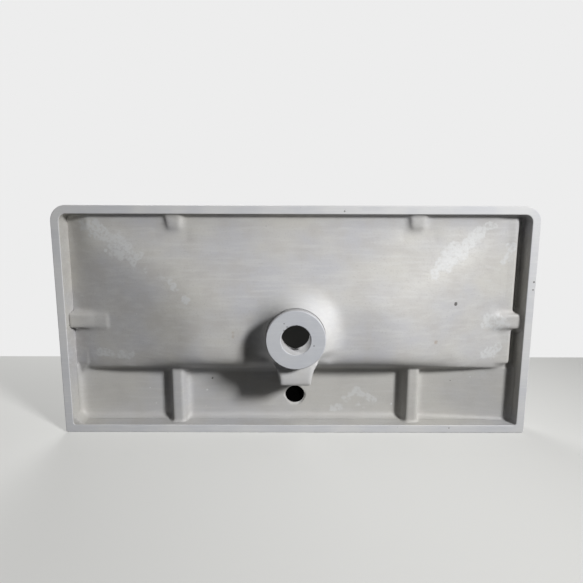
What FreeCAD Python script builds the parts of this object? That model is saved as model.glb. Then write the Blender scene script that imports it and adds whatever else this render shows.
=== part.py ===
"""Ceramic vanity basin: a slim rectangular furniture basin, bare of its tap and waste.

Millimetres. X runs along the basin, +Y to the wall behind it, +Z up. The origin is the middle of the
back edge, on the plane where the skirt sits on its cabinet. The ware is one fired body, built up in
clay from these pieces: the skirt frame, the pan, the tap deck, the waste boss, the overflow duct and
the ribs and webs that stiffen the underside.
"""

import math
import os

import FreeCAD
import Part

# Outline of the basin
basin_width = 800.0
basin_depth = 390.0
rim_height = 50.0
front_corner_radius = 26.0
rear_corner_radius = 4.0
top_edge_radius = 5.0
seat_edge_radius = 1.5

# Skirt: the wall that hides the top of the cabinet, thicker at its root than at its seat
skirt_seat_width = 14.0
skirt_root_width = 16.0

# Tap deck
deck_thickness = 19.0
deck_cove_radius = 8.0
deck_cove_lip = 0.6
tap_hole_diameter = 35.0
tap_hole_from_wall = 56.0

# Bowl: a steep shoulder below the rim, then slopes that fall from three sides to the waste
bowl_depth = 69.0
rim_land = 5.0
shoulder_drop = 23.0
shoulder_run_side = 21.0
shoulder_run_front = 17.0
ledge_depth = 110.0
rear_wall_run = 30.0
floor_half_width = 165.0
floor_front_reach = 48.0
opening_corner_radius = 14.0
shoulder_corner_radius = 24.0
floor_front_radius = 52.0
floor_rear_radius = 24.0
pan_wall = 11.0
shoulder_thickening = 4.0
rim_lip_radius = 4.0
knee_blend = 5.0
bowl_heel_height = 10.0
pan_heel_height = 10.0

# Waste outlet
waste_from_wall = 184.0
waste_bore_diameter = 46.0
waste_flange_diameter = 66.0
waste_flange_recess = 4.0
waste_dish_diameter = 84.0
waste_dish_fall = 2.0
boss_diameter = 93.0
boss_length = 40.0
boss_cove_spread = 22.0
boss_cove_rise = 18.0
boss_cove_steps = 5
boss_cove_overhang = 5.0
boss_edge_chamfer = 1.5
bore_edge_chamfer = 1.0

# Overflow: a hole in the bowl's rear wall, a duct behind it and a port into the waste bore
overflow_hole_diameter = 24.0
overflow_below_rim = 30.0
duct_wall = 9.0
duct_width_at_boss = 62.0
duct_width_at_end = 44.0
duct_drop = 20.0
duct_head_depth = 22.0
duct_back_lean = 20.0
duct_edge_radius = 4.0
overflow_port_diameter = 10.0

# Ribs and webs under the basin
rib_face_level = 10.0
rib_face_width = 19.0
rib_draft_angle = 17.0
rib_edge_radius = 4.0
rib_offset = 205.0
side_web_face_level = 8.0
side_web_face_width = 24.0
side_web_from_wall = 197.0

# Levels and places that follow from the sizes above
deck_underside = rim_height - deck_thickness
floor_level = rim_height - bowl_depth
underside_level = floor_level - pan_wall
boss_face_level = underside_level - boss_length
half_width = basin_width / 2
root_half_width = half_width - skirt_root_width
root_front = -(basin_depth - skirt_root_width)
root_corner_radius = front_corner_radius - skirt_root_width
seat_corner_radius = front_corner_radius - skirt_seat_width
floor_front = -(waste_from_wall + floor_front_reach)
rear_wall_lean = rear_wall_run / bowl_depth
rear_wall_offset = pan_wall * math.hypot(1, rear_wall_lean)
pan_back = -(ledge_depth + rear_wall_lean * deck_thickness) + rear_wall_offset
pan_heel_back = rear_wall_offset - pan_heel_height - ledge_depth - rear_wall_lean * (bowl_depth + pan_wall)
boss_radius = boss_diameter / 2
duct_head_from_wall = -pan_back - duct_head_depth
duct_foot_from_wall = duct_head_from_wall + duct_back_lean
duct_start_from_wall = waste_from_wall - math.sqrt(boss_radius**2 - (duct_width_at_boss / 2) ** 2)
past = 20.0


def vector(x, y, z):
    return FreeCAD.Vector(x, y, z)


def outline(half, front, rear, z, front_radius, rear_radius):
    """Closed wire of a rectangle with round corners, symmetric about X = 0, at height z."""
    corners = [
        (half, rear, -1, -1, rear_radius),
        (-half, rear, 1, -1, rear_radius),
        (-half, front, 1, 1, front_radius),
        (half, front, -1, 1, front_radius),
    ]
    arcs = []
    for index, (x, y, inward_x, inward_y, radius) in enumerate(corners):
        along_x = vector(x + inward_x * radius, y, z)
        along_y = vector(x, y + inward_y * radius, z)
        near = radius * (1 - math.sqrt(0.5))
        middle = vector(x + inward_x * near, y + inward_y * near, z)
        ends = (along_y, along_x) if index % 2 == 0 else (along_x, along_y)
        arcs.append((ends[0], middle, ends[1]))
    edges = []
    for index, (start, middle, end) in enumerate(arcs):
        edges.append(Part.Arc(start, middle, end).toShape())
        following = arcs[(index + 1) % len(arcs)][0]
        edges.append(Part.LineSegment(end, following).toShape())
    return Part.Wire(edges)


def prism(wire, height):
    return Part.Face(wire).extrude(vector(0, 0, height))


def edges_at(shape, level):
    """Edges of a shape that lie flat at one height."""
    flat = []
    for edge in shape.Edges:
        box = edge.BoundBox
        if abs(box.ZMin - level) < 1e-4 and abs(box.ZMax - level) < 1e-4:
            flat.append(edge)
    return flat


def rear_wall_at(z):
    """Y of the bowl's rear wall, on its glazed side."""
    return -(ledge_depth + rear_wall_lean * (rim_height - z))


def skirt_hollow():
    """The space inside the skirt, open below, up to the top of the rim."""
    seat = outline(
        half_width - skirt_seat_width,
        -(basin_depth - skirt_seat_width),
        -skirt_seat_width,
        0,
        seat_corner_radius,
        rear_corner_radius,
    )
    root = outline(
        root_half_width, root_front, -skirt_root_width, deck_underside, root_corner_radius, rear_corner_radius
    )
    return Part.makeLoft([seat, root], True, True).fuse(prism(root, deck_thickness)).removeSplitter()


def skirt_frame():
    """The upright wall on all four sides, from its ground seat to the outer edge of the rim."""
    block = prism(
        outline(half_width, -basin_depth, 0, 0, front_corner_radius, rear_corner_radius), rim_height
    )
    block = block.makeFillet(top_edge_radius, edges_at(block, rim_height))
    frame = block.cut(skirt_hollow())
    return frame.makeFillet(seat_edge_radius, edges_at(frame, 0))


def station(level, half, front, front_radius, rear_radius):
    """One height of a dish: its half width, its front edge and the radii of its corners."""
    return {
        "level": level,
        "half": half,
        "front": front,
        "front_radius": front_radius,
        "rear_radius": rear_radius,
    }


def bent(level, size, top, knee, floor):
    """A size of the dish at a height: two straight slopes with a parabola over the knee."""
    above = (top[size] - knee[size]) / (top["level"] - knee["level"])
    below = (knee[size] - floor[size]) / (knee["level"] - floor["level"])
    rise = level - knee["level"]
    if rise >= knee_blend:
        return knee[size] + above * rise
    if rise <= -knee_blend:
        return knee[size] + below * rise
    return knee[size] + below * rise + (above - below) * (rise + knee_blend) ** 2 / (4 * knee_blend)


def flattened(solid):
    """The same solid with its flat slopes, which the loft leaves as splines, as true planes."""
    faces = []
    for face in solid.Faces:
        plane = face.findPlane(1e-5)
        faces.append(Part.Face(plane, face.OuterWire) if plane else face)
    shell = Part.Shell(faces)
    shell.sewShape()
    return Part.Solid(shell)


def dish(top, knee, floor, rear_shift, heel_height):
    """Solid of the bowl's form between two heights, its back edge rounded over the heel."""
    heel_shares = (0, 0.1, 0.4, 1)
    knee_shares = (-1, -0.4, 0.2, 1)
    levels = [floor["level"] + share * heel_height for share in heel_shares]
    levels += [knee["level"] + share * knee_blend for share in knee_shares]
    levels.append(top["level"])
    sections = []
    for level in levels:
        left = max(0, 1 - (level - floor["level"]) / heel_height)
        heel = heel_height * (1 - math.sqrt(1 - left**2))
        sizes = ("half", "front", "front_radius", "rear_radius")
        half, front, front_radius, rear_radius = [bent(level, size, top, knee, floor) for size in sizes]
        rear = rear_wall_at(level) + rear_shift - heel
        sections.append(outline(half, front, rear, level, front_radius, rear_radius))
    return flattened(Part.makeLoft(sections, True, True))


def bowl_hollow():
    """The glazed inside of the bowl, down to the flat round the waste."""
    half = root_half_width - rim_land
    front = root_front + rim_land
    top = station(rim_height, half, front, opening_corner_radius, opening_corner_radius)
    knee = station(
        rim_height - shoulder_drop,
        half - shoulder_run_side,
        front + shoulder_run_front,
        shoulder_corner_radius,
        shoulder_corner_radius,
    )
    floor = station(floor_level, floor_half_width, floor_front, floor_front_radius, floor_rear_radius)
    return dish(top, knee, floor, 0, bowl_heel_height)


def pan_body():
    """The pan without its hollow: the outside of the bowl, one wall below the inside."""
    half = root_half_width - rim_land - shoulder_run_side + shoulder_thickening
    front = root_front + rim_land + shoulder_run_front - shoulder_thickening
    top = station(deck_underside, root_half_width, root_front, root_corner_radius, root_corner_radius)
    knee = station(
        rim_height - shoulder_drop - pan_wall, half, front, shoulder_corner_radius, shoulder_corner_radius
    )
    floor = station(
        underside_level, floor_half_width, floor_front, floor_front_radius, floor_rear_radius
    )
    body = dish(top, knee, floor, rear_wall_offset, pan_heel_height)
    root = outline(
        root_half_width, root_front, pan_back, deck_underside, root_corner_radius, root_corner_radius
    )
    return body.fuse(prism(root, deck_thickness)).removeSplitter()


def overflow_axis():
    """A point on the rear wall and the direction square to it, from the bowl into the duct."""
    level = rim_height - overflow_below_rim
    return vector(0, rear_wall_at(level), level), vector(0, 1, -rear_wall_lean).normalize()


def overflow_cut():
    start, direction = overflow_axis()
    return Part.makeCylinder(
        overflow_hole_diameter / 2, 2 * rear_wall_offset, start - direction * rear_wall_offset / 2, direction
    )


def waste_cut():
    """Bore, flange seat and the shallow dish that leads water into them."""
    centre = vector(0, -waste_from_wall, 0)
    down = vector(0, 0, -1)
    seat_level = floor_level - waste_dish_fall
    bore = Part.makeCylinder(
        waste_bore_diameter / 2, bowl_depth + pan_wall, centre + vector(0, 0, rim_height), down
    )
    seat = Part.makeCylinder(
        waste_flange_diameter / 2, waste_flange_recess, centre + vector(0, 0, seat_level), down
    )
    dish = Part.makeCone(
        waste_dish_diameter / 2,
        waste_flange_diameter / 2,
        waste_dish_fall,
        centre + vector(0, 0, floor_level),
        down,
    )
    return bore.fuse([seat, dish])


def bowl_pan(body):
    pan = body.cut(bowl_hollow())
    pan = pan.cut(waste_cut().fuse(overflow_cut()))
    lip = []
    for edge in edges_at(pan, rim_height):
        box = edge.BoundBox
        inside_x = box.XMax < root_half_width - rim_land / 2 and box.XMin > rim_land / 2 - root_half_width
        if inside_x and box.YMin > root_front + rim_land / 2 and box.YMax < pan_back - rim_land / 2:
            lip.append(edge)
    return pan.makeFillet(rim_lip_radius, lip)


def deck_bay():
    """The open bay under the deck, with the cove that runs up the skirt."""
    side = root_half_width - deck_cove_lip
    rear = -(skirt_root_width + deck_cove_lip)
    depth = 2 * deck_cove_radius
    bay = Part.makeBox(
        2 * side, basin_depth, depth, vector(-side, rear - basin_depth, deck_underside - depth)
    )
    return bay.makeFillet(deck_cove_radius, edges_at(bay, deck_underside))


def tap_deck(body):
    """Flat slab behind the bowl, with the tap hole and a cove along the skirt below it."""
    hollow = skirt_hollow()
    behind = Part.makeBox(
        basin_width,
        ledge_depth + root_corner_radius,
        deck_thickness + deck_cove_radius,
        vector(-half_width, pan_back - root_corner_radius, deck_underside - deck_cove_radius),
    )
    deck = hollow.common(behind).cut(deck_bay()).cut(body)
    hole = Part.makeCylinder(
        tap_hole_diameter / 2,
        deck_thickness + 2 * past,
        vector(0, -tap_hole_from_wall, deck_underside - past),
    )
    return max(deck.cut(hole).Solids, key=lambda solid: solid.Volume)


def behind_pan():
    """The space behind the pan's back edge, where the boss has no cove."""
    rise = boss_length + pan_heel_height
    low = pan_heel_back + boss_cove_overhang - rear_wall_lean * boss_length
    high = low + rear_wall_lean * rise
    corners = [
        vector(-basin_width, low, boss_face_level),
        vector(-basin_width, basin_depth, boss_face_level),
        vector(-basin_width, basin_depth, boss_face_level + rise),
        vector(-basin_width, high, boss_face_level + rise),
    ]
    block = Part.Face(Part.makePolygon(corners + corners[:1])).extrude(vector(2 * basin_width, 0, 0))
    foot = vector(0, -waste_from_wall, boss_face_level)
    return block.cut(Part.makeCylinder(boss_radius, rise, foot))


def waste_boss(body):
    """Turned boss below the pan: ground face, bore, and a cove that spreads onto the underside."""
    bore = waste_bore_diameter / 2
    face = boss_face_level
    cove_edge = boss_radius + boss_cove_spread
    cove_foot = underside_level - boss_cove_rise
    points = [
        vector(bore, 0, underside_level),
        vector(bore, 0, face + bore_edge_chamfer),
        vector(bore + bore_edge_chamfer, 0, face),
        vector(boss_radius - boss_edge_chamfer, 0, face),
        vector(boss_radius, 0, face + boss_edge_chamfer),
    ]
    for step in range(boss_cove_steps + 1):
        turn = math.pi / 2 * step / boss_cove_steps
        across = cove_edge - boss_cove_spread * math.cos(turn)
        points.append(vector(across, 0, cove_foot + boss_cove_rise * math.sin(turn)))
    profile = Part.Face(Part.makePolygon(points + points[:1]))
    turned = profile.revolve(vector(0, 0, 0), vector(0, 0, 1), 360)
    collar = Part.makeCylinder(boss_radius, pan_heel_height, vector(0, 0, underside_level))
    collar = collar.cut(Part.makeCylinder(bore, pan_heel_height, vector(0, 0, underside_level)))
    boss = turned.fuse(collar)
    boss.translate(vector(0, -waste_from_wall, 0))
    boss = boss.cut(behind_pan()).cut(body).removeSplitter()
    return max(boss.Solids, key=lambda solid: solid.Volume)


def duct_block(inset):
    """The duct's outside, or its channel when drawn in by one wall: narrower and sloped at the back."""
    foot = boss_face_level + duct_drop + inset
    boss_side = -(duct_start_from_wall + inset)
    head_rear = -(duct_head_from_wall + inset)
    foot_rear = -(duct_foot_from_wall + inset)
    at_boss = duct_width_at_boss / 2 - inset
    at_end = duct_width_at_end / 2 - inset
    plan = [
        vector(-at_boss, boss_side, foot),
        vector(-at_end, head_rear, foot),
        vector(at_end, head_rear, foot),
        vector(at_boss, boss_side, foot),
    ]
    side = [
        vector(-at_boss, boss_side, foot),
        vector(-at_boss, foot_rear, foot),
        vector(-at_boss, head_rear, deck_underside),
        vector(-at_boss, boss_side, deck_underside),
    ]
    upright = prism(Part.makePolygon(plan + plan[:1]), deck_underside - foot)
    sloped = Part.Face(Part.makePolygon(side + side[:1])).extrude(vector(2 * at_boss, 0, 0))
    return upright.common(sloped)


def overflow_duct(body, boss, deck):
    """Hollow casing on the back of the pan, from the deck down to the side of the boss."""
    block = duct_block(0)
    rounded = []
    for edge in block.Edges:
        box = edge.BoundBox
        off_boss = box.YMax > -duct_start_from_wall + duct_edge_radius
        off_deck = box.ZMin < deck_underside - duct_edge_radius
        if off_boss and off_deck:
            rounded.append(edge)
    block = block.makeFillet(duct_edge_radius, rounded)
    casing = block.cut(duct_block(duct_wall)).cut(body).cut(boss).cut(deck)
    return max(casing.Solids, key=lambda solid: solid.Volume)


def overflow_port():
    """The hole that lets the duct run out into the waste bore."""
    level = boss_face_level + duct_drop + duct_wall + overflow_port_diameter / 2
    return Part.makeCylinder(
        overflow_port_diameter / 2,
        boss_radius + boss_cove_spread,
        vector(0, -waste_from_wall, level),
        vector(0, 1, 0),
    )


def rib_bar(face_width, face_level, length):
    """Tapered bar along +Y from the origin, its narrow face down, with rounded face edges."""
    rise = deck_underside - face_level + past
    spread = rise * math.tan(math.radians(rib_draft_angle))
    low = face_width / 2
    high = low + spread
    corners = [
        vector(-low, 0, face_level),
        vector(low, 0, face_level),
        vector(high, 0, face_level + rise),
        vector(-high, 0, face_level + rise),
    ]
    bar = Part.Face(Part.makePolygon(corners + corners[:1])).extrude(vector(0, length, 0))
    face_edges = [edge for edge in edges_at(bar, face_level) if edge.BoundBox.YLength > length / 2]
    return bar.makeFillet(rib_edge_radius, face_edges)


def fit_under(bar, hollow, body, deck):
    """The part of a bar that fills the space between the skirt, the pan and the deck."""
    filled = bar.common(hollow).cut(body).cut(deck)
    return max(filled.Solids, key=lambda solid: solid.Volume)


def ribs_and_webs(body, deck):
    hollow = skirt_hollow()
    made = {}
    for side, name in ((-1, "left"), (1, "right")):
        bar = rib_bar(rib_face_width, rib_face_level, -pan_back + past)
        bar.translate(vector(side * rib_offset, pan_back - past, 0))
        made["deck_rib_" + name] = fit_under(bar, hollow, body, deck)

        bar = rib_bar(rib_face_width, rib_face_level, basin_depth / 2)
        bar.translate(vector(side * rib_offset, -basin_depth, 0))
        made["front_web_" + name] = fit_under(bar, hollow, body, deck)

        bar = rib_bar(side_web_face_width, side_web_face_level, half_width)
        bar.rotate(vector(0, 0, 0), vector(0, 0, 1), -90 * side)
        bar.translate(vector(0, -side_web_from_wall, 0))
        made["side_web_" + name] = fit_under(bar, hollow, body, deck)
    return made


def main():
    os.makedirs("parts", exist_ok=True)
    body = pan_body()
    deck = tap_deck(body)
    boss = waste_boss(body)
    parts = {
        "skirt_frame": skirt_frame(),
        "bowl_pan": bowl_pan(body),
        "tap_deck": deck,
        "waste_boss": boss.cut(overflow_port()),
        "overflow_duct": overflow_duct(body, boss, deck),
    }
    parts.update(ribs_and_webs(body, deck))
    for name, shape in parts.items():
        print(name, len(shape.Solids), shape.isValid(), round(shape.Volume / 1000, 1), "cm3")
        shape.exportStep("parts/" + name + ".step")


main()
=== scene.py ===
import math

import bmesh
import bpy
import numpy as np
from mathutils import Matrix, Vector


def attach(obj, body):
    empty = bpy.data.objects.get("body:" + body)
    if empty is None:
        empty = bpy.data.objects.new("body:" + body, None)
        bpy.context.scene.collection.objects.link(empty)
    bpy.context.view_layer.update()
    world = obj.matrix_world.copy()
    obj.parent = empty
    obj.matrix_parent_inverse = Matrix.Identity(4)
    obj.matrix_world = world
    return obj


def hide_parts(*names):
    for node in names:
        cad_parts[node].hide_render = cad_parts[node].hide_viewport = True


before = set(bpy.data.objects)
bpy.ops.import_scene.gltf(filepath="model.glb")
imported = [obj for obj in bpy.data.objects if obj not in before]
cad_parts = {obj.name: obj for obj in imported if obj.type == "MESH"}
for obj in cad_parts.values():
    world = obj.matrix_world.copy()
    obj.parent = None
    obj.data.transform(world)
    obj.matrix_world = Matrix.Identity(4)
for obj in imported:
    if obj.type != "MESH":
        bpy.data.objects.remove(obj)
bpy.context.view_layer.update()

mm = 0.001
print("frame loaded:", len(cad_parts), "nodes")


# small helpers

def pick(*objects):
    bpy.ops.object.select_all(action="DESELECT")
    for obj in objects:
        obj.select_set(True)
    bpy.context.view_layer.objects.active = objects[0]


def finishWith(obj, kind, **settings):
    pick(obj)
    modifier = obj.modifiers.new(kind.title(), kind)
    for name, value in settings.items():
        setattr(modifier, name, value)
    bpy.ops.object.modifier_apply(modifier=modifier.name)


def cut(piece, tool, operation):
    finishWith(piece, "BOOLEAN", object=tool, operation=operation, solver="MANIFOLD")


def copyOf(obj, name):
    twin = bpy.data.objects.new(name, obj.data.copy())
    bpy.context.scene.collection.objects.link(twin)
    return twin


def mergedCopy(node):
    piece = copyOf(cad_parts[node], "copy of " + node)
    pick(piece)
    bpy.ops.object.mode_set(mode="EDIT")
    bpy.ops.mesh.select_all(action="SELECT")
    bpy.ops.mesh.remove_doubles(threshold=0.01 * mm)
    bpy.ops.object.mode_set(mode="OBJECT")
    return piece


def fade(value, start, full):
    share = np.clip((value - start) / (full - start), 0, 1)
    return share * share * (3 - 2 * share)


# the body: the CAD pieces pressed together like clay, with coves, melted hips and a hand-worked unevenness

plan = {
    # mm
    "waste": (0, -184),
    "boss": 46.5,
    "ribs": 205,
    "sideWebs": -197,
    "panBack": -106.3,
    "rearLean": 30 / 69,
    "deckUnder": 31,
}
castBody = {
    "voxel": 2.4,  # mm
    "soften": 0.5,
    "coveRounds": 5,
    "coveSteps": 6,
    "coveBend": (0.01, 0.05),  # the least hollow that is filled, and how much more fills it fully
    "tightRear": (-34, -26),  # mm, the rear and left walls meet the floor more tightly
    "tightLeft": (374, 380),
    "tight": 0.8,
    "slopeSteps": 420,
    "webSteps": 12,
    "lastSteps": 1,
    "waveHeight": 0.9,  # mm
    "waveLength": 95,
}
openSlope = {
    # mm, each pair is the start and the end of a fade
    "looksDown": (-0.2, 0.15),  # 1 is straight down
    "top": 27,
    "rightEnd": (344, 358),
    "leftEnd": (362, 378),
    "front": (-356, -344),
    "heel": (-150, -138),
    "heelShare": 0.75,
    "heelRear": (-126, -116),
    "heelTop": (-8, 6),
    "heelLooksDown": (0.1, 0.3),
    "besideDuct": (52, 66),
    "offBoss": (0.5, 12),
    "offFrontWeb": (26, 40),
    "frontWebTip": (-334, -318),
    "offSideWeb": (24, 36),
    "sideWebTip": (298, 314),
}
webWear = {
    # mm
    "width": (18, 26),
    "sideTip": (304, 312),
    "sideRoot": (356, 372),
    "frontTip": (-334, -326),
    "frontRoot": (-370, -362),
    "top": 22,
}
bossFlare = {
    # mm
    "reach": 38,
    "drop": 12,
    "lowest": -60,
    "rear": (-160, -144),
    "looksDown": (0.0, 0.3),  # 1 is straight down
}


def pointsOf(obj):
    count = len(obj.data.vertices)
    places = np.empty(count * 3, np.float32)
    normals = np.empty(count * 3, np.float32)
    obj.data.vertices.foreach_get("co", places)
    obj.data.vertex_normals.foreach_get("vector", normals)
    return places.reshape(-1, 3), normals.reshape(-1, 3)


def weightGroup(obj, name, weights):
    group = obj.vertex_groups.get(name) or obj.vertex_groups.new(name=name)
    levels = np.rint(weights * 10).astype(int)
    for level in range(11):
        group.add(np.flatnonzero(levels == level).tolist(), level / 10, "REPLACE")


def hollowness(obj):
    # how far the mean of a point's neighbours stands out of the surface: above 0 in a hollow
    places, normals = pointsOf(obj)
    ends = np.empty(len(obj.data.edges) * 2, np.int32)
    obj.data.edges.foreach_get("vertices", ends)
    near, far = ends[0::2], ends[1::2]
    total = np.zeros_like(places)
    np.add.at(total, near, places[far])
    np.add.at(total, far, places[near])
    count = np.bincount(ends, minlength=len(places))[:, None]
    return ((total / count - places) * normals).sum(1)


def coveWeights(obj):
    bend = hollowness(obj) / (castBody["voxel"] * mm)
    x, y = (pointsOf(obj)[0].T / mm)[:2]
    least, more = castBody["coveBend"]
    tight = np.maximum(fade(y, *castBody["tightRear"]), fade(-x, *castBody["tightLeft"]))
    return np.clip((bend - least) / more, 0, 1) * (1 - castBody["tight"] * tight)


def slopeWeights(obj):
    # 1 on the open slopes below the pan, less on its heel, 0 at the boss, the webs, the skirt and elsewhere
    places, normals = pointsOf(obj)
    x, y, z = places.T / mm
    across, down = np.abs(x), -normals[:, 2]
    slopes = fade(down, *openSlope["looksDown"]) * (1 - fade(y, *openSlope["heel"]))
    heel = openSlope["heelShare"] * fade(y, *openSlope["heel"]) * (1 - fade(y, *openSlope["heelRear"]))
    heel = heel * (1 - fade(z, *openSlope["heelTop"]))
    heel *= fade(across, *openSlope["besideDuct"]) * fade(down, *openSlope["heelLooksDown"])
    share = np.maximum(slopes, heel) * (z < openSlope["top"]) * (1 - fade(x, *openSlope["rightEnd"]))
    share = share * (1 - fade(-x, *openSlope["leftEnd"])) * fade(y, *openSlope["front"])
    start, full = openSlope["offBoss"]
    share *= fade(np.hypot(x, y - plan["waste"][1]), plan["boss"] + start, plan["boss"] + full)
    frontWeb = 1 - fade(np.abs(across - plan["ribs"]), *openSlope["offFrontWeb"])
    frontWeb *= 1 - fade(y, *openSlope["frontWebTip"])
    sideWeb = 1 - fade(np.abs(y - plan["sideWebs"]), *openSlope["offSideWeb"])
    sideWeb *= fade(across, *openSlope["sideWebTip"])
    return share * (1 - frontWeb) * (1 - sideWeb)


def webWeights(obj):
    # the webs' tips and long edges, worn round
    x, y, z = pointsOf(obj)[0].T / mm
    across = np.abs(x)
    side = (1 - fade(np.abs(y - plan["sideWebs"]), *webWear["width"])) * fade(across, *webWear["sideTip"])
    side = side * (1 - fade(across, *webWear["sideRoot"]))
    front = (1 - fade(np.abs(across - plan["ribs"]), *webWear["width"])) * (1 - fade(y, *webWear["frontTip"]))
    front = front * fade(y, *webWear["frontRoot"])
    return np.maximum(side, front) * (z < webWear["top"])


def flareToBoss(obj):
    # the pan sweeps down to the boss in a wide cove
    places, normals = pointsOf(obj)
    x, y, z = places.T / mm
    out = (np.hypot(x, y - plan["waste"][1]) - plan["boss"]) / bossFlare["reach"]
    share = np.where(out > 0, np.clip(1 - out, 0, 1) ** 2, 0) * fade(-normals[:, 2], *bossFlare["looksDown"])
    share = share * (1 - fade(y, *bossFlare["rear"]))
    places[:, 2] -= bossFlare["drop"] * mm * share * (z > bossFlare["lowest"])
    obj.data.vertices.foreach_set("co", places.ravel())
    obj.data.update()


def lofted(loops):
    mesh = bpy.data.meshes.new("tool")
    shape = bmesh.new()
    rings = [[shape.verts.new(Vector(point) * mm) for point in loop] for loop in loops]
    for low, high in zip(rings, rings[1:]):
        for i in range(len(low)):
            shape.faces.new((low[i - 1], low[i], high[i], high[i - 1]))
    shape.faces.new(rings[0])
    shape.faces.new(rings[-1])
    bmesh.ops.recalc_face_normals(shape, faces=shape.faces)
    shape.to_mesh(mesh)
    shape.free()
    tool = bpy.data.objects.new("tool", mesh)
    bpy.context.scene.collection.objects.link(tool)
    return tool


def alongX(profile, low, high):
    return lofted([[(x, y, z) for y, z in profile] for x in (low, high)])


def alongY(profile, low, high):
    return lofted([[(x, y, z) for x, z in profile] for y in (low, high)])


# clay pressed by hand along the walls, into the rear corner, and where the duct spreads to the boss
handFill = {
    # mm, Y and Z along the front, then the X at which each profile stands
    "front": [(-379, 10.4), (-364, 11), (-350, 11), (-338, 9), (-328, 5.9), (-328, 11), (-350, 20), (-379, 28)],
    "frontNear": [(-379, 12.6), (-364, 13), (-350, 13), (-338, 13), (-328, 13.5), (-328, 18), (-350, 24),
                  (-379, 28)],
    "frontEnd": [(-379, 22), (-370, 23), (-364, 24), (-359, 25), (-356, 26), (-356, 28), (-366, 29.5),
                 (-379, 31)],
    "frontRun": [(-382, "frontEnd"), (-346, "front"), (330, "front"), (352, "frontNear"), (368, "frontNear"),
                 (380, "frontEnd")],
    # X and Z along the ends, then the Y at which each profile stands
    "left": [(-398, 30), (-362, 16.8), (-362, 25), (-398, 38)],
    "leftEnd": [(-398, 33), (-380, 28), (-380, 30), (-398, 38)],
    "leftRun": [(-376, "left"), (-120, "left"), (-98, "leftEnd")],
    "right": [(338, 12.8), (358, 13.9), (371.5, 14.8), (373, 17), (373, 30), (338, 20)],
    "rightEnd": [(338, 17), (352, 19.5), (362, 21.5), (363, 23), (363, 30), (338, 24)],
    "rightRun": [(-377, "rightEnd"), (-368, "right"), (-123, "right"), (-114, "rightEnd")],
    "leftWeb": [(-374, 8.2), (-340, 7.4), (-318, 4.2), (-318, 12), (-374, 20)],
    "leftWebHalf": 11,
    # the left wall is left out of the pressing here, so that its foot stays sharp
    "bareWall": [(-410, -10), (-374, -10), (-374, 29), (-410, 29)],
    "bareWallRun": (-366, -116),
    "corner": (-362, -38, 24),  # X, Y and radius of the cove
    "cornerBack": (-388, -12),
    "cornerSpan": (2, 38),  # Z
    "webTip": [(-379, 14, 5), (-366, 13.5, 5.2), (-357, 12, 6), (-348, 9, 10)],  # Y, half width, lowest Z
    "webTipAt": (-202, 201),
    "webTipTop": 15,
    "webTipBevel": 2,
    "webTipFlare": 5,
    "spread": [(-158, 44.5, -46, -27), (-150, 42, -47, -27), (-143, 38, -48, -27), (-136, 33.5, -48, -25),
               (-128, 29.5, -48, -10), (-118, 27, -46, 11), (-106, 24.5, -40, 18)],  # Y, half width, both Z
    "spreadInside": 23,
    "spreadTaper": 0.95,
    "deckEnd": [(212, 31.4), (300, 27), (386, 20)],  # X and lowest Z: the deck thickens to its right end
    "deckEndSpan": (-112, -10),  # Y
    "deckEndTop": 36,
}


def cornerFill():
    x, y, radius = handFill["corner"]
    backX, backY = handFill["cornerBack"]
    turns = [math.radians(90 + 90 * step / 8) for step in range(9)]
    cove = [(x + radius * math.cos(t), y + radius * math.sin(t)) for t in turns]
    cove += [(backX, y), (backX, backY), (x, backY)]
    return lofted([[(px, py, z) for px, py in cove] for z in handFill["cornerSpan"]])


def webTipFill(x):
    top, bevel, flare = [handFill["webTip" + name] for name in ("Top", "Bevel", "Flare")]
    return lofted([[(x - half - bevel, y, top), (x - half + bevel, y, low), (x + half - bevel, y, low),
                    (x + half + flare, y, top)] for y, half, low in handFill["webTip"]])


def spreadFill(side):
    inside, taper = handFill["spreadInside"], handFill["spreadTaper"]
    return lofted([[(side * inside, y, low), (side * half, y, low), (side * half * taper, y, high),
                    (side * inside, y, high)] for y, half, low, high in handFill["spread"]])


def deckEndFill():
    front, rear = handFill["deckEndSpan"]
    top = handFill["deckEndTop"]
    return lofted([[(x, front, low), (x, rear, low), (x, rear, top), (x, front, top)]
                   for x, low in handFill["deckEnd"]])


def handFills():
    fills = [lofted([[(x, y, z) for y, z in handFill[name]] for x, name in handFill["frontRun"]])]
    for run in ("leftRun", "rightRun"):
        fills.append(lofted([[(x, y, z) for x, z in handFill[name]] for y, name in handFill[run]]))
    half = handFill["leftWebHalf"]
    fills.append(alongY(handFill["leftWeb"], plan["sideWebs"] - half, plan["sideWebs"] + half))
    fills.append(cornerFill())
    fills += [webTipFill(x) for x in handFill["webTipAt"]]
    fills += [spreadFill(side) for side in (-1, 1)]
    fills.append(deckEndFill())
    return fills


def soften(obj, name, weights, steps):
    weightGroup(obj, name, weights)
    finishWith(obj, "SMOOTH", factor=castBody["soften"], iterations=steps, vertex_group=name)


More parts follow.
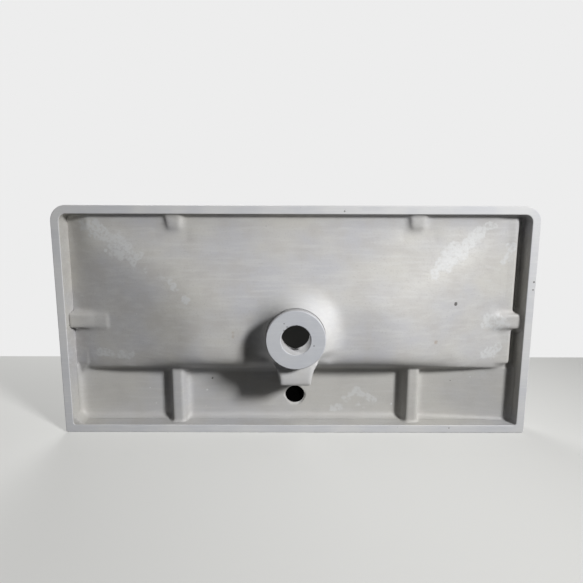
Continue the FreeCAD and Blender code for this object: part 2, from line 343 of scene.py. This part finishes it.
body = mergedCopy("skirt_frame")
bareWall = alongY(handFill["bareWall"], *handFill["bareWallRun"])
cut(body, bareWall, "DIFFERENCE")
bpy.data.objects.remove(bareWall)
others = [mergedCopy(node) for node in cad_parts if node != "skirt_frame"]
pick(body, *others, *handFills())
bpy.ops.object.join()
body.name = "pressed body"
finishWith(body, "REMESH", mode="VOXEL", voxel_size=castBody["voxel"] * mm, use_smooth_shade=True)
for _ in range(castBody["coveRounds"]):
    soften(body, "coves", coveWeights(body), castBody["coveSteps"])
soften(body, "slopes", slopeWeights(body), castBody["slopeSteps"])
soften(body, "webs", webWeights(body), castBody["webSteps"])
flareToBoss(body)
waves = bpy.data.textures.new("hand worked waves", "CLOUDS")
waves.noise_scale = castBody["waveLength"] * mm
waves.noise_depth = 1
finishWith(body, "DISPLACE", texture=waves, texture_coords="LOCAL", mid_level=0.5,
           strength=castBody["waveHeight"] * mm, vertex_group="slopes")
finishWith(body, "SMOOTH", factor=castBody["soften"], iterations=castBody["lastSteps"])
print("body pressed:", len(body.data.polygons), "faces")


# cutting the body back into its pieces, square to the surface so that no joint shows

skirtHollow = {
    # mm, the half width, front and rear of the room inside the skirt
    "seat": (386, -376, -14),
    "root": (384, -374, -16),
    "clear": 0.3,  # off the skirt's wall, below the deck
    "radii": (12, 5),  # at the front and the rear
    "rootRadii": (10, 4),
    "low": [("seat", -90), ("seat", 0), ("root", plan["deckUnder"])],
    "high": [("root", plan["deckUnder"] - 0.5), ("root", 60)],
}
cuts = {
    # mm
    "boss": [(70, -80), (70, -55), (45, -55), (45, -31)],  # radius and Z
    "panSkin": 2.2,  # inside the pan's rear wall
    "intoDeck": 1.5,
    "ductHalf": 50,
    "ribHalf": 29,
    "sideHalf": 31,
    "front": [(-390, -20), (-326, -20), (-326, 6.5), (-356, 18), (-375, 33), (-390, 33)],  # Y and Z
    "side": [(392, -20), (312, -20), (312, 6.5), (362, 18), (385, 33), (392, 33)],  # X and Z
    "deck": [(-97, -90), (30, -90), (30, 60), (-97, 60)],  # Y and Z
    "deckHalf": 410,
    "turned": [(-260, -57), (-100, -57), (-100, -90), (-260, -90)],  # Y and Z
    "turnedHalf": 90,
    "edgeAngle": 48,  # degrees, past which an edge stays sharp
    "turnedEdgeAngle": 30,
}


def roundedLoop(half, front, rear, frontRadius, rearRadius, z):
    corners = [(half, rear, rearRadius, 0), (-half, rear, rearRadius, 90), (-half, front, frontRadius, 180),
               (half, front, frontRadius, 270)]
    loop = []
    for x, y, radius, start in corners:
        centre = (x - math.copysign(radius, x), y + (radius if y == front else -radius))
        for step in range(9):
            angle = math.radians(start + 90 * step / 8)
            loop.append((centre[0] + radius * math.cos(angle), centre[1] + radius * math.sin(angle), z))
    return loop


def roomInSkirt(part, clear, radii):
    loops = []
    for size, z in skirtHollow[part]:
        half, front, rear = skirtHollow[size]
        loops.append(roundedLoop(half - clear, front + clear, rear - clear, *radii, z))
    return lofted(loops)


def turned(centre, rings):
    # a turned form about an upright axis, from its radii and heights
    turns = [2 * math.pi * step / 96 for step in range(96)]
    return lofted([[(centre[0] + radius * math.cos(t), centre[1] + radius * math.sin(t), z) for t in turns]
                   for radius, z in rings])


def take(name, tool):
    piece = copyOf(body, name)
    cut(piece, tool, "INTERSECT")
    cut(body, tool, "DIFFERENCE")
    bpy.data.objects.remove(tool)
    pieces[name] = piece


def panRear(z):
    # a point of the pan's rear wall, just inside its surface
    return plan["panBack"] - cuts["panSkin"] - plan["rearLean"] * (plan["deckUnder"] - z), z


low = roomInSkirt("low", skirtHollow["clear"], skirtHollow["radii"])
high = roomInSkirt("high", 0, skirtHollow["rootRadii"])
cut(low, high, "UNION")
cut(body, low, "INTERSECT")
bpy.data.objects.remove(low)
bpy.data.objects.remove(high)

pieces = {}
take("waste_boss", turned(plan["waste"], cuts["boss"]))
inDeck = plan["deckUnder"] + cuts["intoDeck"]
ductProfile = [(-76, inDeck), panRear(inDeck), panRear(-19), (-138, -26), (-146, -28.2), (-146, -80), (-76, -80)]
take("overflow_duct", alongX(ductProfile, -cuts["ductHalf"], cuts["ductHalf"]))
ribProfile = [panRear(inDeck), panRear(-5), (10, -5), (10, inDeck)]
for side, word in ((-1, "left"), (1, "right")):
    low, high = [side * plan["ribs"] + step for step in (-cuts["ribHalf"], cuts["ribHalf"])]
    take("deck_rib_" + word, alongX(ribProfile, low, high))
    take("front_web_" + word, alongX(cuts["front"], low, high))
    low, high = [plan["sideWebs"] + step for step in (-cuts["sideHalf"], cuts["sideHalf"])]
    take("side_web_" + word, alongY([(side * x, z) for x, z in cuts["side"]], low, high))
take("tap_deck", alongX(cuts["deck"], -cuts["deckHalf"], cuts["deckHalf"]))
body.name = "bowl_pan"
pieces["bowl_pan"] = body

# the boss keeps its turned lower end, with its ground face and chamfers
turnedEnd = mergedCopy("waste_boss")
pick(turnedEnd)
bpy.ops.mesh.customdata_custom_splitnormals_clear()
belowDuct = alongX(cuts["turned"], -cuts["turnedHalf"], cuts["turnedHalf"])
cut(turnedEnd, belowDuct, "INTERSECT")
cut(pieces["waste_boss"], belowDuct, "DIFFERENCE")
bpy.data.objects.remove(belowDuct)
pick(pieces["waste_boss"], turnedEnd)
bpy.ops.object.join()

for name, piece in pieces.items():
    piece.vertex_groups.clear()
    pick(piece)
    edgeAngle = cuts["turnedEdgeAngle" if name == "waste_boss" else "edgeAngle"]
    bpy.ops.object.shade_smooth_by_angle(angle=math.radians(edgeAngle))
    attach(piece, "root")
    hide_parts(name)
    print(name, len(piece.data.polygons), "faces")


# materials

def linear(hexColour):
    parts = [int(hexColour[i:i + 2], 16) / 255 for i in (1, 3, 5)]
    return [c / 12.92 if c <= 0.04045 else ((c + 0.055) / 1.055) ** 2.4 for c in parts] + [1]


def liveOutput(node):
    return next(output for output in node.outputs if output.enabled)


def addNode(tree, kind, links=None, **settings):
    # links fill sockets by name or number: from a node's first live output, a socket or a plain value
    node = tree.nodes.new("ShaderNode" + kind)
    for name, value in settings.items():
        setattr(node, name, value)
    for socket, source in (links or {}).items():
        if isinstance(source, bpy.types.Node):
            source = liveOutput(source)
        if isinstance(source, bpy.types.NodeSocket):
            tree.links.new(source, node.inputs[socket])
        else:
            node.inputs[socket].default_value = source
    return node


def mottle(tree, place, size, stretch=(1, 1, 1), detail=2.0, shift=(0, 0, 0)):
    # noise whose grain is size mm, drawn out by stretch
    scale = [1 / (size * mm * s) for s in stretch]
    mapped = addNode(tree, "Mapping", {"Vector": place, "Scale": scale, "Location": shift})
    return addNode(tree, "TexNoise", {"Vector": mapped, "Scale": 1.0, "Detail": detail})


def specks(tree, place, size, reach, shift=(0, 0, 0)):
    # scattered round dots, one at most to each cell of size mm, reach as a share of the cell
    mapped = addNode(tree, "Mapping", {"Vector": place, "Scale": [1 / (size * mm)] * 3, "Location": shift})
    cells = addNode(tree, "TexVoronoi", {"Vector": mapped, "Scale": 1.0})
    chance = addNode(tree, "SeparateColor", {0: cells.outputs["Color"]})
    chosen = addNode(tree, "MapRange", {0: chance, 1: 0.45, 2: 1.0}, interpolation_type="SMOOTHSTEP")
    limit = addNode(tree, "Math", {0: chosen, 1: reach}, operation="MULTIPLY")
    return addNode(tree, "Math", {0: limit, 1: cells.outputs["Distance"]}, operation="GREATER_THAN")


def pinhole(tree, place, point, radius):
    # 1 inside a small round hole, with an edge of 1 mm
    gap = addNode(tree, "VectorMath", {0: place, 1: [c * mm for c in point]}, operation="DISTANCE")
    inner, outer = (radius - 0.5) * mm, (radius + 0.5) * mm
    return addNode(tree, "MapRange", {0: gap, 1: inner, 2: outer, 3: 1.0, 4: 0.0}, interpolation_type="SMOOTHSTEP")


def spill(tree, kind, soft, ragged, amount):
    # 1 inside the marks of one kind, whose edge the noise moves in and out by some mm
    gap = addNode(tree, "Attribute", attribute_name=kind).outputs["Fac"]
    centred = addNode(tree, "Math", {0: ragged, 1: 0.5}, operation="SUBTRACT")
    gap = addNode(tree, "Math", {0: centred, 1: amount, 2: gap}, operation="MULTIPLY_ADD")
    return addNode(tree, "MapRange", {0: gap, 1: -soft, 2: soft, 3: 1.0, 4: 0.0}, interpolation_type="SMOOTHSTEP")


def anyOf(tree, masks):
    total = masks[0]
    for mask in masks[1:]:
        total = addNode(tree, "Math", {0: total, 1: mask}, operation="MAXIMUM")
    return total


def coated(tree, colour, coats):
    # colours laid over each other, each as its value goes from start to full, up to a share
    for value, start, full, share, hexColour in coats:
        cover = addNode(tree, "MapRange", {0: value, 1: start, 2: full, 4: share}, interpolation_type="SMOOTHSTEP")
        colour = addNode(tree, "Mix", {0: cover, 6: colour, 7: linear(hexColour)}, data_type="RGBA")
    return colour


def farFrom(places, points):
    # distance of each place to a row of points joined by straight runs
    nearest = np.full(len(places), 1e6)
    for start, end in zip(points, points[1:] or points):
        start, run = np.array(start, float), np.subtract(end, start).astype(float)
        share = np.clip((places - start) @ run / max(run @ run, 1e-9), 0, 1)
        nearest = np.minimum(nearest, np.linalg.norm(places - start - share[:, None] * run, axis=1))
    return nearest


def keepMarks(piece):
    # how far each point of a piece lies outside the marks of each kind, in mm, up to 200
    places = pointsOf(piece)[0].astype(float) / mm
    for kind, strokes in marks.items():
        gap = np.min([farFrom(places, points) - radius for points, radius in strokes], axis=0)
        layer = piece.data.attributes.new(kind, "FLOAT", "POINT")
        layer.data.foreach_set("value", np.minimum(gap, 200).astype(np.float32))


marks = {
    # mm, the points of each stroke and its radius: smears of glaze along the hips, blobs on the deck, dark pits,
    # brown stains and pale flecks
    "smears": [
        ([(229, -284, -11), (246, -303, -5), (271, -319, 1), (307, -348, 10)], 10),
        ([(240, -296, -8), (268, -318, 0)], 16),
    ],
    "thinSmears": [
        ([(-346, -360, 11), (-325, -345, 9), (-293, -329, 4), (-265, -303, -4)], 13),
        ([(-300, -330, 5), (-280, -316, 0)], 18),
        ([(-265, -303, -4), (-241, -290, -9)], 5),
        ([(-220, -278, -12), (-178, -239, -22)], 4),
        ([(307, -348, 12), (324, -357, 16)], 7),
        ([(363, -325, 16), (352, -298, 13)], 7),
        ([(328, -196, 8), (352, -196, 10)], 13),
        ([(330, -138, 6), (352, -150, 12)], 9),
        ([(-337, -142, 8), (-264, -140, -8)], 5),
    ],
    "deckBlobs": [
        ([(94, -53, 31), (112, -62, 31), (124, -55, 31), (141, -51, 31)], 6),
        ([(69, -30, 31), (77, -33, 31)], 6),
        ([(112, -39, 31), (123, -36, 31)], 4),
        ([(296, -94, 31), (335, -102, 31)], 1.5),
    ],
    "pits": [([(265.7, -230, -6.5)], 3.2), ([(-148, -88, 31)], 2.2)],
    "stains": [([(233.5, -167, -14)], 3), ([(-101, -178, -29), (-101, -187, -29)], 1.6)],
    "flecks": [
        ([(271.5, -271.6, 0)], 3), ([(-145, -227, -25), (-139, -224, -26)], 1.8), ([(-205, -292, -12)], 2),
        ([(260, -237, -6)], 2.2), ([(-315, -316, 6)], 3.4), ([(-158, -66, 31)], 1.8), ([(-251, -41, 31)], 1.8),
        ([(265, -32, 31)], 1.8), ([(174, -40, 31)], 1.8), ([(-337, -297, 8), (-331, -291, 7)], 1.4),
    ],
}
glazeSpills = {
    # softness and raggedness of the edge in mm, then where the torn noise thins the glaze and between which shares
    "smears": (3.0, 34, 0.3, 0.55, 0.25, 0.8),
    "thinSmears": (2.5, 38, 0.36, 0.56, 0.15, 0.8),
    "deckBlobs": (2, 34, 0.3, 0.55, 0.1, 0.6),
}
rimPits = [((396, -266, 0), 1.6), ((395.5, -253, 0), 1.3), ((79, -381, 0), 1.2), ((-156, -16, 0), 1),
           ((269, -9, 0), 1)]  # mm, place and radius
facePits = [((-18, -199, -70), 1.3), ((-13.5, -205, -70), 0.9), ((-18, -210, -70), 0.9),
            ((27.7, -175.5, -70), 1.0)]


def clay(tree, place, deckShade=0.35):
    # the wash itself: warm grey with cool clouds, brushed along the basin, darker under the deck, gritty close to
    clouds = mottle(tree, place, 110, (1.4, 1, 1), 4.0)
    patches = mottle(tree, place, 34, detail=4.0, shift=(6, 2, 4))
    brushed = mottle(tree, place, 6, (9, 1, 1), 4.0)
    grit = mottle(tree, place, 2.2, detail=4.0)
    rearward = addNode(tree, "SeparateXYZ", {0: place}).outputs["Y"]
    colour = coated(tree, linear("#b4b4b7"), [
        (clouds, 0.35, 0.65, 1.0, "#bebcb7"),
        (patches, 0.4, 0.7, 0.55, "#b0adaa"),
        (brushed, 0.42, 0.75, 0.4, "#c8c8c6"),
        (grit, 0.52, 0.78, 0.5, "#a2a19f"),
        (rearward, -140 * mm, -105 * mm, deckShade, "#a5a4a1"),
    ])
    rough = addNode(tree, "MapRange", {0: grit, 1: 0.3, 2: 0.7, 3: 0.5, 4: 0.64}, interpolation_type="SMOOTHSTEP")
    height = addNode(tree, "Math", {0: grit, 1: 0.35}, operation="MULTIPLY")
    height = addNode(tree, "Math", {0: brushed, 1: 0.3, 2: height}, operation="MULTIPLY_ADD")
    return colour, rough, height


def plainWash(tree, place):
    # thin matt wash with nothing spilt on it, on the skirt's inner wall and the boss
    colour, rough, height = clay(tree, place, 0.15)
    drops = specks(tree, place, 26, 0.05)
    colour = addNode(tree, "Mix", {0: drops, 6: colour, 7: linear("#dededc")}, data_type="RGBA")
    return colour, rough, height


def washed(tree, place):
    # thin matt wash, paler round the boss as a painted bright flare, with smears and drops of glaze, stains and
    # open pits
    colour, rough, height = clay(tree, place)
    # the centre of a painted bright flare round the boss, and each point's distance from it
    paintedFlareCentre = [c * mm for c in (*plan["waste"], -40)]
    paintedFlareGap = addNode(tree, "VectorMath", {0: place, 1: paintedFlareCentre}, operation="DISTANCE")
    ragged = mottle(tree, place, 16, detail=6.0)
    torn = mottle(tree, place, 5, detail=4.0, shift=(3, 1, 7))
    glaze = []
    for kind, (soft, amount, start, full, least, most) in glazeSpills.items():
        cover = addNode(tree, "MapRange", {0: torn, 1: start, 2: full, 3: least, 4: most},
                        interpolation_type="SMOOTHSTEP")
        inside = spill(tree, kind, soft, ragged, amount)
        glaze.append(addNode(tree, "Math", {0: cover, 1: inside}, operation="MULTIPLY"))
    glaze += [spill(tree, "flecks", 0.8, torn, 3), specks(tree, place, 26, 0.045)]
    white = anyOf(tree, glaze)
    stains = spill(tree, "stains", 1.5, torn, 5)
    pits = anyOf(tree, [spill(tree, "pits", 0.6, torn, 2.5), specks(tree, place, 40, 0.022, (5, 3, 1))])
    # painted highlight: the wash turns paler towards the boss, a painted bright flare round it
    colour = coated(tree, colour, [(paintedFlareGap, 92 * mm, 48 * mm, 0.4, "#dcdcda")])
    for mask, share, hexColour in ((white, 1.0, "#c8c9c9"), (stains, 0.4, "#8d7458"), (pits, 0.85, "#3c3936")):
        cover = addNode(tree, "Math", {0: mask, 1: share}, operation="MULTIPLY")
        colour = addNode(tree, "Mix", {0: cover, 6: colour, 7: linear(hexColour)}, data_type="RGBA")
    height = addNode(tree, "Math", {0: white, 1: 0.7, 2: height}, operation="MULTIPLY_ADD")
    height = addNode(tree, "Math", {0: pits, 1: -2.0, 2: height}, operation="MULTIPLY_ADD")
    return colour, rough, height


def ground(tree, place, pinholes):
    # face ground flat on a wheel: paler, cool, with faint arcs and open pinholes
    arcs = mottle(tree, place, 3, (18, 1, 1), 2.0)
    clouds = mottle(tree, place, 60, detail=3.0, shift=(2, 2, 2))
    grit = mottle(tree, place, 1.2, detail=3.0)
    colour = coated(tree, linear("#c9cacd"), [
        (clouds, 0.35, 0.68, 1.0, "#d2d2d2"),
        (arcs, 0.45, 0.8, 0.4, "#dddddd"),
        (grit, 0.58, 0.8, 0.5, "#b3b3b4"),
    ])
    pits = [pinhole(tree, place, point, radius) for point, radius in pinholes]
    pits = anyOf(tree, pits + [specks(tree, place, 9, 0.05, (1, 4, 2))])
    cover = addNode(tree, "Math", {0: pits, 1: 0.85}, operation="MULTIPLY")
    colour = addNode(tree, "Mix", {0: cover, 6: colour, 7: linear("#4a4743")}, data_type="RGBA")
    rough = addNode(tree, "MapRange", {0: arcs, 1: 0.3, 2: 0.7, 3: 0.42, 4: 0.55}, interpolation_type="SMOOTHSTEP")
    height = addNode(tree, "Math", {0: arcs, 1: 0.2}, operation="MULTIPLY")
    height = addNode(tree, "Math", {0: height, 1: pits}, operation="SUBTRACT")
    return colour, rough, height


def groundFace(tree, place):
    # the boss's face, greyer than the rim
    colour, rough, height = ground(tree, place, facePits)
    grey = {0: 1.0, 6: colour, 7: linear("#e6e8ec")}
    return addNode(tree, "Mix", grey, data_type="RGBA", blend_type="MULTIPLY"), rough, height


def groundRim(tree, place):
    return ground(tree, place, rimPits)


def glazed(tree, place):
    # white glaze, glossy, with the slight unevenness of a poured coat and a rare speck of kiln dust
    pool = mottle(tree, place, 90, detail=2.0, shift=(1, 5, 2))
    skin = mottle(tree, place, 22, detail=1.0, shift=(4, 4, 4))
    dust = specks(tree, place, 45, 0.012, (2, 7, 5))
    colour = coated(tree, linear("#e2e2e0"), [(pool, 0.35, 0.65, 1.0, "#e8e8e6")])
    colour = addNode(tree, "Mix", {0: dust, 6: colour, 7: linear("#8f8a80")}, data_type="RGBA")
    rough = addNode(tree, "MapRange", {0: pool, 1: 0.3, 2: 0.7, 3: 0.07, 4: 0.13}, interpolation_type="SMOOTHSTEP")
    height = addNode(tree, "Math", {0: skin, 1: 0.25}, operation="MULTIPLY")
    height = addNode(tree, "Math", {0: pool, 1: 1.2, 2: height}, operation="MULTIPLY_ADD")
    return colour, rough, height


def upper(tree, place, normal):
    # the glazed side: everything that looks up
    upward = addNode(tree, "SeparateXYZ", {0: normal}).outputs["Z"]
    return addNode(tree, "MapRange", {0: upward, 1: 0.02, 2: 0.16}, interpolation_type="SMOOTHSTEP")


def bossFace(tree, place, normal):
    # the last mm of the boss
    level = addNode(tree, "SeparateXYZ", {0: place}).outputs["Z"]
    return addNode(tree, "MapRange", {0: level, 1: -68.9 * mm, 2: -69.4 * mm}, interpolation_type="SMOOTHSTEP")


def outerSkin(tree, place, normal):
    # the glazed outside of the skirt: from 7 mm inside its outline outwards, but not its seat
    parts = addNode(tree, "SeparateXYZ", {0: place}).outputs
    endways = addNode(tree, "Math", {0: parts["X"]}, operation="ABSOLUTE")
    pastX = addNode(tree, "Math", {0: endways, 1: 374 * mm}, operation="SUBTRACT")
    pastY = addNode(tree, "Math", {0: -364 * mm, 1: parts["Y"]}, operation="SUBTRACT")
    corner = addNode(tree, "CombineXYZ", {0: pastX, 1: pastY})
    corner = addNode(tree, "VectorMath", {0: corner, 1: (0, 0, 0)}, operation="MAXIMUM")
    fromCorner = addNode(tree, "VectorMath", {0: corner}, operation="LENGTH")
    edges = [(endways, 391, 393), (parts["Y"], -381, -383), (parts["Y"], -9, -7), (fromCorner, 17, 19)]  # mm
    masks = [addNode(tree, "MapRange", {0: value, 1: start * mm, 2: full * mm}, interpolation_type="SMOOTHSTEP")
             for value, start, full in edges]
    return anyOf(tree, masks + [upper(tree, place, normal)])


def seat(tree, place, normal):
    # the lowest mm of the skirt, where it looks down
    level = addNode(tree, "SeparateXYZ", {0: place}).outputs["Z"]
    upward = addNode(tree, "SeparateXYZ", {0: normal}).outputs["Z"]
    low = addNode(tree, "MapRange", {0: level, 1: 0.9 * mm, 2: 0.5 * mm}, interpolation_type="SMOOTHSTEP")
    down = addNode(tree, "MapRange", {0: upward, 1: -0.5, 2: -0.75}, interpolation_type="SMOOTHSTEP")
    return addNode(tree, "Math", {0: low, 1: down}, operation="MULTIPLY")


def firedChina(name, finish, *coats):
    # one material from a finish and others laid over it, each with the mask that lays it on
    material = bpy.data.materials.new(name)
    material.use_nodes = True
    tree = material.node_tree
    shader = tree.nodes["Principled BSDF"]
    place = addNode(tree, "TexCoord").outputs["Object"]
    normal = addNode(tree, "NewGeometry").outputs["Normal"]
    colour, rough, height = finish(tree, place)
    for coat, mask in coats:
        topColour, topRough, topHeight = coat(tree, place)
        share = mask(tree, place, normal)
        colour = addNode(tree, "Mix", {0: share, 6: colour, 7: topColour}, data_type="RGBA")
        rough = addNode(tree, "Mix", {0: share, 2: rough, 3: topRough})
        height = addNode(tree, "Mix", {0: share, 2: height, 3: topHeight})
    bump = addNode(tree, "Bump", {"Height": height, "Strength": 0.6, "Distance": 0.25 * mm})
    for socket, node in (("Base Color", colour), ("Roughness", rough), ("Normal", bump)):
        tree.links.new(liveOutput(node), shader.inputs[socket])
    shader.inputs["IOR"].default_value = 1.5
    return material


# vitreous china: a matt brushed wash with spilt glaze below, and a glossy white glaze on all that looks up
underChina = firedChina("washedChina", washed, (glazed, upper))
# the same wash, clean, and a face ground flat, cool and finely lined
bossChina = firedChina("bossChina", plainWash, (groundFace, bossFace))
# washed inside, glossy outside, with a pale ground seat
skirtChina = firedChina("skirtChina", plainWash, (glazed, outerSkin), (groundRim, seat))
for name, piece in pieces.items():
    piece.data.materials.clear()
    piece.data.materials.append(bossChina if name == "waste_boss" else underChina)
    if name != "waste_boss":
        keepMarks(piece)
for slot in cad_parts["skirt_frame"].material_slots:
    slot.material = skirtChina
print("materials set")


# stage: planes that only the camera and reflections see, each from one side

def stagePlane(name, centre, size, facing, colour, glowing=0.0):
    bpy.ops.mesh.primitive_plane_add(size=1, location=centre)
    plane = bpy.context.object
    plane.name = name
    plane.scale = (*size, 1)
    plane.rotation_euler = Vector(facing).to_track_quat("Z", "Y").to_euler()
    bpy.ops.object.transform_apply(location=True, rotation=True, scale=True)
    material = bpy.data.materials.new(name)
    material.use_nodes = True
    tree = material.node_tree
    tree.nodes.clear()
    path = addNode(tree, "LightPath").outputs
    behind = addNode(tree, "NewGeometry").outputs["Backfacing"]
    seen = addNode(tree, "Math", {0: path["Is Camera Ray"], 1: path["Is Glossy Ray"]}, operation="MAXIMUM")
    seen = addNode(tree, "Math", {0: seen, 1: path["Is Transmission Ray"]}, operation="MAXIMUM")
    seen = addNode(tree, "Math", {0: seen, 1: behind}, operation="SUBTRACT", use_clamp=True)
    clear = addNode(tree, "BsdfTransparent")
    paint = addNode(tree, "BsdfDiffuse", {"Color": linear(colour)})
    glow = addNode(tree, "Emission", {"Color": linear(colour), "Strength": glowing})
    paint = addNode(tree, "AddShader", {0: paint, 1: glow})
    mixed = addNode(tree, "MixShader", {0: seen, 1: clear, 2: paint})
    addNode(tree, "OutputMaterial", {"Surface": mixed})
    plane.data.materials.append(material)


# the basin stands on its back edge, as in the photograph, so this floor is a wall to the upright views
stagePlane("standing floor", (0, 0.6 * mm, -0.7), (6, 2.3), (0, -1, 0), "#b4b4b2", 0.7)
stagePlane("floor", (0, 0, -70.6 * mm), (8, 8), (0, 0, 1), "#c4c4c2", 0.45)
# painted shade: dark sheets stand for the shadowed space seen through the holes, the one behind the waste glowing
# faintly to hold its dark grey
stagePlane("painted shade behind the waste", (0, -184 * mm, -30.5 * mm), (48 * mm, 48 * mm), (0, 0, -1), "#212120", 0.8)
stagePlane("painted shade behind the tap hole", (0, -56 * mm, 41 * mm), (34.6 * mm, 34.6 * mm), (0, 0, -1), "#040404")

world = bpy.context.scene.world or bpy.data.worlds.new("studio")
bpy.context.scene.world = world
world.use_nodes = True
tree = world.node_tree
tree.nodes.clear()
cameraRay = addNode(tree, "LightPath").outputs["Is Camera Ray"]
fill = addNode(tree, "Background", {"Color": linear("#f2f4f7"), "Strength": 0.05})
pale = addNode(tree, "Background", {"Color": linear("#ededed"), "Strength": 1.0})
mixed = addNode(tree, "MixShader", {0: cameraRay, 1: fill, 2: pale})
addNode(tree, "OutputWorld", {"Surface": mixed})


def lamp(name, place, target, size, watts, spread=180):
    # a square lamp, in m, and how wide its light spreads in degrees
    data = bpy.data.lights.new(name, "AREA")
    data.size = size
    data.spread = math.radians(spread)
    data.energy = watts
    obj = bpy.data.objects.new(name, data)
    bpy.context.scene.collection.objects.link(obj)
    obj.location = place
    obj.rotation_euler = (Vector(target) - Vector(place)).to_track_quat("-Z", "Y").to_euler()


lamp("key below", (1.42, -1.11, -1.4), (-0.08, -0.1, 0), 0.36, 6.6, 60)
lamp("soft above", (-0.5, -0.9, 1.4), (0, -0.2, 0), 0.9, 17)
lamp("soft behind", (-1.4, 1.6, 1.3), (0, -0.2, 0), 2.4, 26)
print("stage and lamps set")


# camera, at the photograph's place below the basin

viewpoint = {
    "place": (-7.7, -348.8, -692.4),  # mm
    "tilt": 8.17,  # degrees
    "yaw": -0.08,
    "roll": 0.14,
    "focal": 420 / 583,  # of the picture's width
    "sensor": 36,  # mm
    "nearest": 0.01,  # m
}
cameraData = bpy.data.cameras.new("camera")
camera = bpy.data.objects.new("camera", cameraData)
bpy.context.scene.collection.objects.link(camera)
turn = (Matrix.Rotation(math.radians(viewpoint["roll"]), 3, "Z")
        @ Matrix.Rotation(math.radians(viewpoint["yaw"]), 3, "Y")
        @ Matrix.Rotation(math.radians(viewpoint["tilt"]), 3, "X"))
right, down, forward = turn
camera.matrix_world = Matrix.Translation(Vector(viewpoint["place"]) * mm) @ Matrix(
    (right, -down, -forward)).transposed().to_4x4()
cameraData.sensor_width = viewpoint["sensor"]
cameraData.lens = viewpoint["sensor"] * viewpoint["focal"]
cameraData.clip_start = viewpoint["nearest"]
bpy.context.scene.camera = camera
bpy.context.scene.view_settings.view_transform = "Standard"

print("scene ready")
